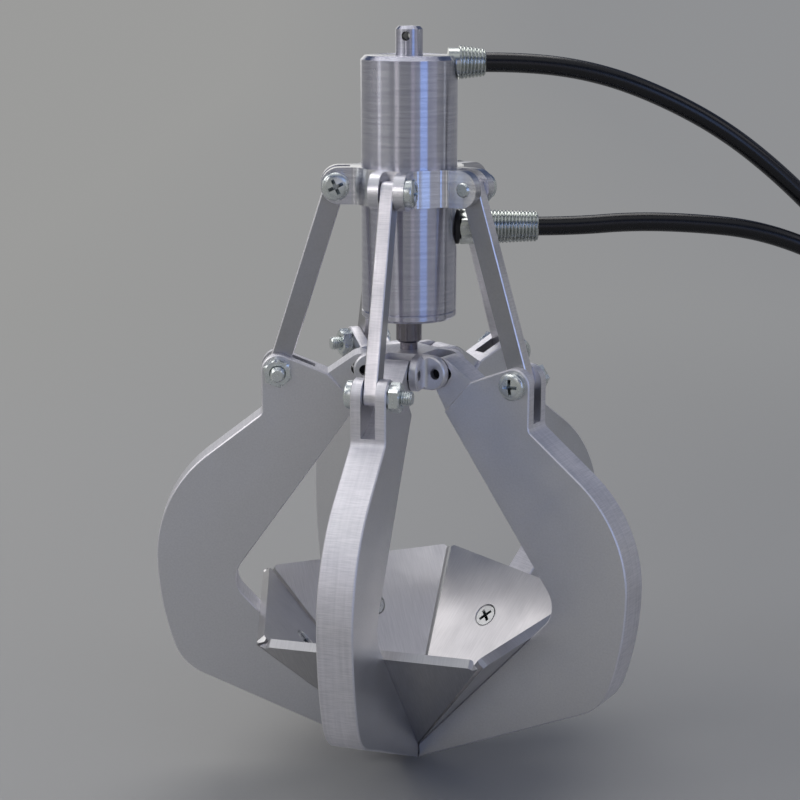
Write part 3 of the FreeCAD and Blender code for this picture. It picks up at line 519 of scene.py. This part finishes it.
def rubber(name, colour, roughness, coat):
    shader = Shader(name)
    fine = shader.noise(shader.local(), scale=1500.0)
    lighter = tuple(c * RUBBER_LIGHTER for c in colour)
    shader.join(shader.mix(fine, colour, lighter), shader.main.inputs["Base Color"])
    shader.join(shader.span(fine, NOISE_LOW, NOISE_HIGH, roughness, roughness * RUBBER_ROUGHER),
                shader.main.inputs["Roughness"])
    shader.join(shader.bump(fine, GRAIN_BUMP), shader.main.inputs["Normal"])
    shader.set(Coat_Weight=coat, Coat_Roughness=COAT_ROUGHNESS)
    return shader.material


def dress(node, material):
    """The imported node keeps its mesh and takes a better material."""
    for slot in NODES[node].material_slots:
        slot.material = material


def dress_nodes(zinc, fitting, seal):
    """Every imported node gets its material, those with a finer piece over them too."""
    lathe = turned_aluminium("turned_aluminium", light=(0.62, 0.62, 0.69), dark=(0.50, 0.50, 0.58))
    clear = turned_aluminium("turned_collar", light=(0.82, 0.82, 0.85), dark=(0.62, 0.62, 0.67))
    chrome = plain_metal("rod_chrome", (0.23, 0.215, 0.24), (0.18, 0.17, 0.19), roughness=0.2)
    pin = plain_metal("pin_steel", (0.02, 0.02, 0.022), (0.01, 0.01, 0.012), roughness=0.5)
    ring = milled_aluminium("milled_ring", 0.0)
    for node in ("hanger_pin", "barrel", "gland", "piston"):
        dress(node, lathe)
    dress("collar", clear)
    dress("hub", ring)
    dress("rod", chrome)
    dress("hub_pins", pin)
    for node in ("gland_o_ring", "rod_seal", "piston_seal", "lower_fitting_washer"):
        dress(node, seal)
    for node in ("collar_screws", "piston_nut"):
        dress(node, zinc)
    for node in ("upper_fitting", "lower_fitting", "upper_hose_end", "lower_hose_end"):
        dress(node, fitting)
    for number in TINES:
        azimuth = tine_azimuth(number)
        plate = milled_aluminium(f"milled_{number}", azimuth)
        sheet = brushed_sheet(f"leaf_{number}", azimuth)
        # Painted shade: the link's faces are painted darker.
        link = milled_aluminium(f"milled_link_{number}", azimuth, face=LINK_FACE_PAINTED_SHADE, edge_rougher=0.0)
        dress(f"link_{number}", link)
        dress(f"tine_{number}", plate)
        dress(f"leaf_{number}", sheet)
        for node in (f"leaf_screw_{number}", f"pivot_screw_{number}", f"pivot_nut_{number}"):
            dress(node, zinc)


# Fine parts turned along Y
PITCH_M3 = 0.5
DEPTH_M3 = 0.28
THREAD_STEPS = 10
THREAD_FLANK = 1.9
THREAD_CREST = 0.75
SHARP_ANGLE = math.radians(32.0)
WELD = 0.0001
HEX_CORNER_DROP = 0.6


def turned(rings, segments):
    """A closed mesh along Y in millimetres from rings, whose radius may depend on the turn."""
    mesh = bmesh.new()
    loops = []
    for distance, radius in rings:
        if radius == 0.0:
            loops.append([mesh.verts.new((0.0, distance, 0.0))])
            continue
        loop = []
        for i in range(segments):
            a = 2.0 * math.pi * i / segments
            r = radius(a) if callable(radius) else radius
            loop.append(mesh.verts.new((r * math.cos(a), distance, r * math.sin(a))))
        loops.append(loop)
    for low, high in zip(loops, loops[1:]):
        for i in range(segments):
            j = (i + 1) % segments
            corners = [low[i % len(low)], low[j % len(low)], high[j % len(high)], high[i % len(high)]]
            mesh.faces.new(list(dict.fromkeys(corners)))
    bmesh.ops.remove_doubles(mesh, verts=mesh.verts, dist=WELD)
    bmesh.ops.recalc_face_normals(mesh, faces=mesh.faces)
    return mesh


def thread_rings(start, end, pitch, depth, start_r, end_r, run_out):
    """Rings of a screw thread whose crests go from one radius to another and fade at the far end."""
    count = round((end - start) / pitch * THREAD_STEPS)
    rings = []
    for k in range(count + 1):
        distance = start + (end - start) * k / count
        crest = start_r + (end_r - start_r) * k / count
        limit = crest - max(0.0, distance - (end - run_out))

        def radius(a, distance=distance, crest=crest, limit=limit):
            phase = (distance / pitch - a / (2.0 * math.pi)) % 1.0
            rise = 1.0 - abs(2.0 * phase - 1.0)
            fall = min(1.0, max(0.0, THREAD_FLANK * rise - THREAD_CREST))
            return min(crest - depth * fall, limit)

        rings.append((distance, radius))
    return rings


def hexagon_radius(flats):
    """The radius of a hexagon over its turn."""
    corner = flats / math.sqrt(3.0)

    def radius(a):
        off = (a + math.pi / 6.0) % (math.pi / 3.0) - math.pi / 6.0
        return min(flats / 2.0 / math.cos(off), corner)
    return radius


def hexagon_drop(flats):
    """How far along its axis a hexagon's corners are turned off."""
    return (flats / math.sqrt(3.0) - flats / 2.0) * HEX_CORNER_DROP


RECESS_ABOVE = 0.5
RECESS_MOUTH_REACH = 1.15
RECESS_FLOOR_REACH = 0.35
RECESS_FLOOR_WIDTH = 0.7


def carve(piece, depth, reach, width, mouth):
    """Cuts a cross recess that narrows along +Y from its mouth."""
    for turn in (0.0, 90.0):
        cutter = bmesh.new()
        rings = []
        top = (mouth - RECESS_ABOVE, reach * RECESS_MOUTH_REACH, width)
        floor = (mouth + depth, reach * RECESS_FLOOR_REACH, width * RECESS_FLOOR_WIDTH)
        for y, x, z in (top, floor):
            rings.append([cutter.verts.new((sx * x, y, sz * z))
                          for sx, sz in ((1, 1), (-1, 1), (-1, -1), (1, -1))])
        cutter.faces.new(rings[0])
        cutter.faces.new(rings[1])
        for i in range(4):
            j = (i + 1) % 4
            cutter.faces.new((rings[0][i], rings[0][j], rings[1][j], rings[1][i]))
        bmesh.ops.recalc_face_normals(cutter, faces=cutter.faces)
        bmesh.ops.rotate(cutter, verts=cutter.verts, cent=(0, 0, 0),
                         matrix=Matrix.Rotation(math.radians(turn), 3, "Y"))
        tool = new_object("cutter", cutter)
        cut = piece.modifiers.new("recess", "BOOLEAN")
        cut.operation = "DIFFERENCE"
        cut.solver = "EXACT"
        cut.object = tool
        bpy.context.view_layer.update()
        solved = piece.evaluated_get(bpy.context.evaluated_depsgraph_get())
        shaped = bpy.data.meshes.new_from_object(solved)
        piece.modifiers.clear()
        piece.data = shaped
        bpy.data.objects.remove(tool)


def finished_mesh(name, piece):
    """Takes the piece's mesh in millimetres, scales it to metres and sets which edges look sharp."""
    mesh = piece.data
    mesh.transform(Matrix.Scale(MM, 4))
    mesh.name = name
    mesh.polygons.foreach_set("use_smooth", [True] * len(mesh.polygons))
    mesh.set_sharp_from_angle(angle=SHARP_ANGLE)
    bpy.data.objects.remove(piece)
    return mesh


def place(name, mesh, matrix, body, material, node):
    """A piece with the mesh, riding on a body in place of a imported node."""
    piece = bpy.data.objects.new(name, mesh)
    bpy.context.scene.collection.objects.link(piece)
    if not mesh.materials:
        mesh.materials.append(material)
    piece.matrix_world = matrix
    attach(piece, body)
    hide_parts(node)
    return piece


SCREW_R = 1.5
HEAD_R = 2.9
HEAD_H = 2.0
HEAD_RIM = 1.2
HEAD_EDGE = 0.08
HEAD_STEPS = 8
CROWN_R = 1.3
CROWN_RISE = 0.12
CROWN_MIDDLE = (0.3, 0.6)
RECESS_DEPTH = 1.5
HEAD_REACH = 1.85
HEAD_SLOT = 0.38
HEAD_SEGMENTS = 32
PIVOT_SCREW_L = 12.0
PIVOT_PLAIN_L = 9.0
COLLAR_SCREW_L = 7.75
COLLAR_PLAIN_L = 6.5
SCREW_RUN_OUT = 0.35
NUT_FLATS = 5.5
NUT_H = 2.4
NUT_BORE_R = 1.52
NUT_MOUTH = 0.25
NUT_FACE_IN = 0.1
NUT_SEGMENTS = 72
NUT_TURN = (0.0, 25.0, -12.0, 18.0, 8.0)
LEAF_SCREW_L = 8.0
LEAF_SCREW_END = 0.4
LEAF_HEAD_R = 2.75
LEAF_HEAD_H = 1.68
LEAF_HEAD_FACE_IN = 0.3
LEAF_HEAD_EDGE_H = 0.25
LEAF_HEAD_EDGE_IN = 0.02
# Painted shadow: the leaf screw head's outer band is painted dark, as shade in the countersink gap.
LEAF_HEAD_PAINTED_SHADOW_RIM = 0.28
LEAF_SINK = 0.05
LEAF_REACH = 1.8
LEAF_SLOT = 0.4
LEAF_SEGMENTS = 40


def pan_head_rings():
    """A low domed head from its middle out to its rim and back to the shank."""
    shoulder = HEAD_H - CROWN_RISE - HEAD_RIM
    rings = [(-HEAD_H, 0.0), (CROWN_RISE * CROWN_MIDDLE[0] - HEAD_H, CROWN_R * CROWN_MIDDLE[1])]
    for step in range(HEAD_STEPS + 1):
        a = math.radians(90.0 * step / HEAD_STEPS)
        rings.append((-HEAD_RIM - shoulder * math.cos(a), CROWN_R + (HEAD_R - CROWN_R) * math.sin(a)))
    return rings + [(-HEAD_EDGE, HEAD_R), (0.0, HEAD_R - HEAD_EDGE), (0.0, SCREW_R)]


def pan_head_mesh(name, length, plain):
    """A pan head screw with a cross recess and a thread that starts after the plain length."""
    rings = pan_head_rings() + [(plain, SCREW_R)]
    rings += thread_rings(plain, length, PITCH_M3, DEPTH_M3, SCREW_R, SCREW_R, SCREW_RUN_OUT)
    rings.append((length, 0.0))
    screw = new_object(name, turned(rings, HEAD_SEGMENTS))
    carve(screw, RECESS_DEPTH, HEAD_REACH, HEAD_SLOT, -HEAD_H)
    return finished_mesh(name, screw)


def nut_mesh():
    """A hexagon nut along Y with its corners turned off at both ends."""
    drop = hexagon_drop(NUT_FLATS)
    hexagon = hexagon_radius(NUT_FLATS)
    face_r = NUT_FLATS / 2.0 - NUT_FACE_IN
    rings = [(0.0, NUT_BORE_R), (0.0, face_r), (drop, hexagon), (NUT_H - drop, hexagon), (NUT_H, face_r),
             (NUT_H, NUT_BORE_R + NUT_MOUTH), (NUT_H - NUT_MOUTH, NUT_BORE_R), (0.0, NUT_BORE_R)]
    return finished_mesh("pivot_nut", new_object("nut_work", turned(rings, NUT_SEGMENTS)))


def leaf_screw_mesh():
    """A countersunk screw along Y with a cross recess and a tapered end."""
    rings = [(LEAF_SINK, 0.0), (LEAF_SINK, LEAF_HEAD_R - LEAF_HEAD_FACE_IN),
             (LEAF_SINK + LEAF_HEAD_EDGE_H, LEAF_HEAD_R - LEAF_HEAD_EDGE_IN),
             (LEAF_SINK + LEAF_HEAD_H, SCREW_R), (LEAF_SCREW_L - LEAF_SCREW_END, SCREW_R),
             (LEAF_SCREW_L, SCREW_R - LEAF_SCREW_END), (LEAF_SCREW_L, 0.0)]
    screw = new_object("leaf_screw", turned(rings, LEAF_SEGMENTS))
    carve(screw, RECESS_DEPTH, LEAF_REACH, LEAF_SLOT, LEAF_SINK)
    return finished_mesh("leaf_screw", screw)


def sideways(azimuth, out, across, up, turn=0.0):
    """A frame at a place in a tine's own plane, with Y across the tine and turned about Y."""
    return (Matrix.Rotation(azimuth, 4, "Z") @ Matrix.Translation(Vector((out, across, up)) * MM)
            @ Matrix.Rotation(turn, 4, "Y"))


OUTER_PIVOT = (27.9, -69.2)
COLLAR_PIVOT = (15.36, -30.2)
TINE_HALF_T = 3.7
LEAF_SLOPE = math.radians(48.3)
LEAF_SCREW_AT = (22.7, -131.25)
SPIN_STEP = 37.0
SPIN_START = 12.0
COLLAR_SPIN = 1.7


def make_screws(zinc):
    """The screws and nuts of all five tines and the collar."""
    head_zinc = zinc_with_painted_recess_shade("zinc_pan_head", ZINC_LIGHT, -HEAD_H, HEAD_RECESS_PAINTED_SHADE)
    # Painted shadow round the leaf screw heads' rims, and painted shade in their recesses.
    leaf_painted_shadow_rim = LEAF_HEAD_R - LEAF_HEAD_PAINTED_SHADOW_RIM
    leaf_zinc = zinc_with_painted_recess_shade("zinc_leaf_screw", LEAF_ZINC, LEAF_SINK, LEAF_RECESS_PAINTED_SHADE, leaf_painted_shadow_rim)
    pivot_mesh = pan_head_mesh("pivot_screw", PIVOT_SCREW_L, PIVOT_PLAIN_L)
    collar_mesh = pan_head_mesh("collar_screw", COLLAR_SCREW_L, COLLAR_PLAIN_L)
    leaf_mesh = leaf_screw_mesh()
    nut = nut_mesh()
    inward = Vector((math.sin(LEAF_SLOPE), 0.0, -math.cos(LEAF_SLOPE)))
    lean = inward.to_track_quat("Y", "Z").to_matrix().to_4x4()
    for number in TINES:
        azimuth = tine_azimuth(number)
        tine = f"tine_{number}"
        spin = math.radians(SPIN_STEP * number + SPIN_START)
        nut_turn = math.radians(NUT_TURN[number - 1])
        screw_at = sideways(azimuth, OUTER_PIVOT[0], -TINE_HALF_T, OUTER_PIVOT[1], spin)
        nut_at = sideways(azimuth, OUTER_PIVOT[0], TINE_HALF_T, OUTER_PIVOT[1], nut_turn)
        collar_at = (sideways(azimuth, COLLAR_PIVOT[0], TINE_HALF_T, COLLAR_PIVOT[1])
                     @ Matrix.Rotation(math.pi, 4, "Z") @ Matrix.Rotation(spin * COLLAR_SPIN, 4, "Y"))
        leaf_at = (sideways(azimuth, LEAF_SCREW_AT[0], 0.0, LEAF_SCREW_AT[1])
                   @ lean @ Matrix.Rotation(spin, 4, "Y"))
        place(f"pivot_screw_fine_{number}", pivot_mesh, screw_at, tine, head_zinc,
              f"pivot_screw_{number}")
        place(f"pivot_nut_fine_{number}", nut, nut_at, tine, zinc, f"pivot_nut_{number}")
        place(f"collar_screw_fine_{number}", collar_mesh, collar_at, "body", head_zinc,
              "collar_screws")
        place(f"leaf_screw_fine_{number}", leaf_mesh, leaf_at, tine, leaf_zinc,
              f"leaf_screw_{number}")


FITTING_AZIMUTH = math.radians(18.0)
FITTING_PITCH = 0.74
FITTING_DEPTH = 0.32
FITTING_RUN_OUT = 0.3
UPPER_Z = -5.4
UPPER_SEAT = 8.0
UPPER_SEAT_R = 3.0
UPPER_THREAD_FROM = 10.2
UPPER_TIP = 15.6
UPPER_THREAD_R = 3.5
UPPER_THREAD_END_R = 2.8
UPPER_SEGMENTS = 56
LOWER_Z = -39.3
LOWER_SEAT = 8.2
LOWER_SEAT_R = 2.5
LOWER_THREAD_R = 3.6
LOWER_THREAD_END_R = 3.2
LOWER_TIP = 27.0
LOWER_SEGMENTS = 72
HEX_FROM = 10.5
HEX_TO = 15.0
HEX_FLATS = 6.4
WASHER_FROM = 9.4
WASHER_R = 3.6
WASHER_BORE_R = 2.52
WASHER_EDGE = (0.2, 0.15)
WASHER_SEGMENTS = 48


def on_barrel(name, mesh_name, rings, segments, height, material, node):
    """A turned piece that points out of the barrel's side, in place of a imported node."""
    out = Matrix.Rotation(FITTING_AZIMUTH - math.pi / 2.0, 4, "Z")
    mesh = finished_mesh(mesh_name, new_object(mesh_name + "_work", turned(rings, segments)))
    place(name, mesh, Matrix.Translation((0.0, 0.0, height * MM)) @ out, "body", material, node)


def make_fittings(material, seal):
    """Threaded hose fittings, the lower one with a hexagon and a washer."""
    rings = [(UPPER_SEAT, 0.0), (UPPER_SEAT, UPPER_SEAT_R), (UPPER_THREAD_FROM, UPPER_SEAT_R)]
    rings += thread_rings(UPPER_THREAD_FROM, UPPER_TIP, FITTING_PITCH, FITTING_DEPTH, UPPER_THREAD_R,
                          UPPER_THREAD_END_R, FITTING_RUN_OUT)
    rings.append((UPPER_TIP, 0.0))
    on_barrel("upper_fitting_fine", "upper_fitting", rings, UPPER_SEGMENTS, UPPER_Z,
              material, "upper_fitting")
    drop = hexagon_drop(HEX_FLATS)
    hexagon = hexagon_radius(HEX_FLATS)
    rings = [(LOWER_SEAT, 0.0), (LOWER_SEAT, LOWER_SEAT_R), (HEX_FROM, LOWER_SEAT_R),
             (HEX_FROM, HEX_FLATS / 2.0), (HEX_FROM + drop, hexagon), (HEX_TO - drop, hexagon),
             (HEX_TO, HEX_FLATS / 2.0)]
    rings += thread_rings(HEX_TO, LOWER_TIP, FITTING_PITCH, FITTING_DEPTH, LOWER_THREAD_R,
                          LOWER_THREAD_END_R, FITTING_RUN_OUT)
    rings.append((LOWER_TIP, 0.0))
    on_barrel("lower_fitting_fine", "lower_fitting", rings, LOWER_SEGMENTS, LOWER_Z,
              material, "lower_fitting")
    inner_edge, outer_edge = WASHER_EDGE
    rings = [(WASHER_FROM, WASHER_BORE_R), (WASHER_FROM, WASHER_R - inner_edge),
             (WASHER_FROM + outer_edge, WASHER_R), (HEX_FROM - outer_edge, WASHER_R),
             (HEX_FROM, WASHER_R - outer_edge), (HEX_FROM, WASHER_BORE_R), (WASHER_FROM, WASHER_BORE_R)]
    on_barrel("lower_fitting_washer_fine", "washer", rings, WASHER_SEGMENTS, LOWER_Z,
              seal, "lower_fitting_washer")


END_LENGTH = 12.0
END_SLEEVE_L = 7.0
END_SLEEVE_R = 2.6
END_SLEEVE_EDGE = 0.3
END_STUB_R = 1.5
END_BORE_R = 0.8
END_BORE_L = 3.0
END_THREAD_GAP = 0.6
END_RUN_OUT = 0.4
END_SEGMENTS = 32
CRIMPS = (1.6, 3.4, 5.2)
CRIMP_DEPTH = 0.25
CRIMP_TOP = 0.6
CRIMP_FLOOR = 0.4


def hose_end_mesh():
    """A sleeve with three crimped rings and a stub with a thread."""
    crimped_r = END_SLEEVE_R - CRIMP_DEPTH
    edge_r = END_SLEEVE_R - END_SLEEVE_EDGE
    rings = [(0.0, 0.0), (0.0, edge_r), (END_SLEEVE_EDGE, END_SLEEVE_R)]
    for middle in CRIMPS:
        rings += [(middle - CRIMP_TOP, END_SLEEVE_R), (middle - CRIMP_FLOOR, crimped_r),
                  (middle + CRIMP_FLOOR, crimped_r), (middle + CRIMP_TOP, END_SLEEVE_R)]
    rings += [(END_SLEEVE_L - END_SLEEVE_EDGE, END_SLEEVE_R), (END_SLEEVE_L, edge_r),
              (END_SLEEVE_L, END_STUB_R)]
    rings += thread_rings(END_SLEEVE_L + END_THREAD_GAP, END_LENGTH, PITCH_M3, DEPTH_M3,
                          END_STUB_R, END_STUB_R, END_RUN_OUT)
    bore_end = END_LENGTH - END_BORE_L
    rings += [(END_LENGTH, END_BORE_R), (bore_end, END_BORE_R), (bore_end, 0.0)]
    return finished_mesh("hose_end", new_object("hose_end_work", turned(rings, END_SEGMENTS)))


# Hoses
HOSE_D = 4.0
HOSE_SPECULAR = 0.35
UPPER_ROUTE = [
    (15.6, 0.0, -5.4),
    (25.5, 0.0, -5.4),
    (39.5, 0.2, -7.6),
    (52.5, 0.5, -12.3),
    (66.0, 1.2, -19.3),
    (78.5, 2.6, -28.6),
    (91.0, 4.2, -40.2),
    (99.4, 6.6, -53.8),
    (104.9, 9.0, -68.8),
    (108.1, 10.8, -84.6),
    (109.5, 11.9, -101.0),
    (110.0, 13.2, -117.2),
    (110.3, 15.4, -132.0),
    (111.8, 20.2, -144.2),
    (114.9, 28.2, -152.8),
    (119.3, 38.4, -157.5),
    (124.3, 47.6, -157.1),
]
LOWER_ROUTE = [
    (27.0, 0.0, -39.3),
    (35.0, 0.0, -39.3),
    (47.0, 0.0, -38.4),
    (60.0, -0.2, -38.8),
    (73.0, -0.8, -40.1),
    (86.0, -1.8, -44.4),
    (98.5, -1.6, -51.5),
    (109.5, -0.6, -62.5),
    (117.5, 1.2, -76.0),
    (122.2, 3.6, -91.0),
    (124.5, 6.3, -106.5),
    (125.5, 9.2, -121.5),
    (126.1, 12.7, -135.0),
    (127.6, 18.6, -146.5),
    (130.4, 27.2, -154.1),
    (134.6, 37.0, -157.5),
    (139.2, 45.6, -157.1),
]


def hose(node, route, material, end_mesh, end_material):
    """A tube on a smooth spline between given points, with its end piece."""
    points = [Matrix.Rotation(FITTING_AZIMUTH, 3, "Z") @ Vector(p) * MM for p in route]
    data = bpy.data.curves.new(node + "_tube", "CURVE")
    data.dimensions = "3D"
    data.bevel_depth = HOSE_D / 2 * MM
    data.bevel_resolution = 8
    data.resolution_u = 12
    data.use_fill_caps = True
    spline = data.splines.new("NURBS")
    spline.points.add(len(points) - 1)
    for target, point in zip(spline.points, points):
        target.co = (*point, 1.0)
    spline.order_u = 3
    spline.use_endpoint_u = True
    tube = bpy.data.objects.new(node + "_tube", data)
    bpy.context.scene.collection.objects.link(tube)
    data.materials.append(material)
    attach(tube, "body")
    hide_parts(node)
    way = (points[-1] - points[-2]).to_track_quat("Y", "Z").to_matrix().to_4x4()
    end = place(node + "_end_fine", end_mesh, Matrix.Translation(points[-1]) @ way,
                "body", end_material, node + "_end")


def make_hoses(fitting):
    black = rubber("hose_black", (0.003, 0.003, 0.004), roughness=0.24, coat=0.15)
    Shader.of(black).set(Specular_IOR_Level=HOSE_SPECULAR)
    end_mesh = hose_end_mesh()
    hose("upper_hose", UPPER_ROUTE, black, end_mesh, fitting)
    hose("lower_hose", LOWER_ROUTE, black, end_mesh, fitting)


bpy.context.scene.view_settings.view_transform = "Standard"
make_camera()
zinc_plate = plain_metal("zinc_steel", ZINC_LIGHT, ZINC_DARK, ZINC_ROUGHNESS, ZINC_GRAIN, ZINC_BUMP)
dark_plate = plain_metal("fitting_steel", (0.60, 0.62, 0.59), (0.46, 0.49, 0.47), roughness=0.22)
seal_rubber = rubber("seal_rubber", (0.012, 0.012, 0.013), roughness=0.5, coat=0.0)
make_hoses(dark_plate)
make_stage()
make_lights()
make_world()
dress_nodes(zinc_plate, dark_plate, seal_rubber)
make_screws(zinc_plate)
make_fittings(dark_plate, seal_rubber)
